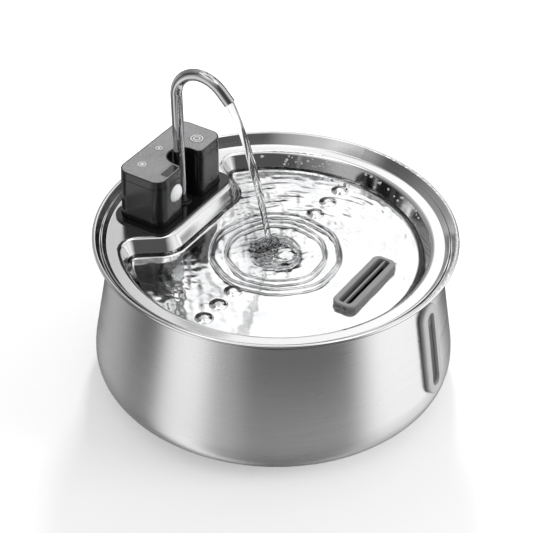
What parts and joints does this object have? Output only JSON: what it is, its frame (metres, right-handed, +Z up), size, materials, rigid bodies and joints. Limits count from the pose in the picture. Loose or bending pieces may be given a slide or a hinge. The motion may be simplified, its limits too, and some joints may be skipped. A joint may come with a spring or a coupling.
{
  "type": "pet water fountain",
  "caption": "Round belly-shaped steel water bowl with a sunken steel tray, a cordless black pump module at the back and a gooseneck spout that pours into the basin.",
  "frame": {"origin": "middle of the bowl's foot, on the surface it stands on", "axes": "+Z up, +Y towards the pump module at the back, -Y towards the level window, +X to the module's power key side"},
  "size_m": [0.2518, 0.2547, 0.2219],
  "materials": {
    "steel_bowl": "fine vertical brushing, satin",
    "steel_tray": "satin",
    "steel_spout": "polished",
    "frame_rubber": "soft matte grey",
    "window_clear": "clear, smoked",
    "cradle_black": "satin moulded",
    "case_black": "semi-gloss moulded",
    "plate_black": "gloss",
    "key_dark": "gloss",
    "strip_dark": "gloss",
    "lens_smoke": "translucent, milky",
    "seal_grey": "matte",
    "board_green": "solder mask",
    "cell_wrap": "shrink wrap",
    "metal_small": "plated",
    "pump_black": "moulded",
    "impeller_white": "moulded",
    "hose_soft": "translucent, soft",
    "basket_grey": "moulded",
    "foam_dark": "open foam",
    "carbon_white": "felt over granules"
  },
  "bodies": {
    "bowl": {"bowl": "steel_bowl", "level_gasket": "frame_rubber", "level_window": "window_clear"},
    "tray": {"tray": "steel_tray", "drain_grommet": "frame_rubber"},
    "holder": {"pump_holder": "cradle_black", "spout_seal": "seal_grey", "contact_pads": "metal_small", "riser_hose": "hose_soft", "pump_body": "pump_black", "impeller_shaft": "metal_small", "impeller_cover": "pump_black", "filter_basket": "basket_grey", "basket_lid": "basket_grey", "foam_filter": "foam_dark", "carbon_filter": "carbon_white"},
    "impeller": {"impeller": "impeller_white"},
    "spout": {"spout_tube": "steel_spout"},
    "module": {"module_shell": "case_black", "top_cover": "case_black", "top_plate": "plate_black", "status_window": "strip_dark", "module_base": "case_black", "module_seal": "seal_grey", "base_screws": "metal_small", "battery_pack": "cell_wrap", "circuit_board": "board_green", "key_switches": "key_dark", "motion_sensor": "metal_small", "sensor_board": "board_green", "sensor_lens": "lens_smoke", "charging_port": "metal_small", "contact_pins": "metal_small"},
    "power_key": {"power_button": "key_dark"},
    "mode_key": {"mode_button": "key_dark"},
    "port_flap": {"port_cover": "seal_grey"}
  },
  "joints": [
    {"name": "tray_lift", "type": "slide", "parent": "bowl", "child": "tray", "axis": [0, 0, 1], "range_m": [0, 0.11]},
    {"name": "holder_lift", "type": "slide", "parent": "tray", "child": "holder", "axis": [0, 0, 1], "range_m": [0, 0.11]},
    {"name": "module_lift", "type": "slide", "parent": "holder", "child": "module", "axis": [0, 0, 1], "range_m": [0, 0.04]},
    {"name": "spout_swivel", "type": "hinge", "parent": "holder", "child": "spout", "pos_m": [0, 0.0773, 0.099], "axis": [0, 0.0349, 0.9994], "range_deg": [-60, 60]},
    {"name": "impeller_spin", "type": "hinge", "parent": "holder", "child": "impeller", "pos_m": [0, 0.0773, 0.024], "axis": [0, 1, 0], "continuous": true},
    {"name": "power_press", "type": "slide", "parent": "module", "child": "power_key", "axis": [0, 0, -1], "range_m": [0, 0.0008], "stiffness_N_per_m": 800},
    {"name": "mode_press", "type": "slide", "parent": "module", "child": "mode_key", "axis": [0, 0, -1], "range_m": [0, 0.0008], "stiffness_N_per_m": 800},
    {"name": "flap_open", "type": "hinge", "parent": "module", "child": "port_flap", "pos_m": [0, 0.10477, 0.1222], "axis": [1, 0, 0], "range_deg": [0, 110]}
  ]
}
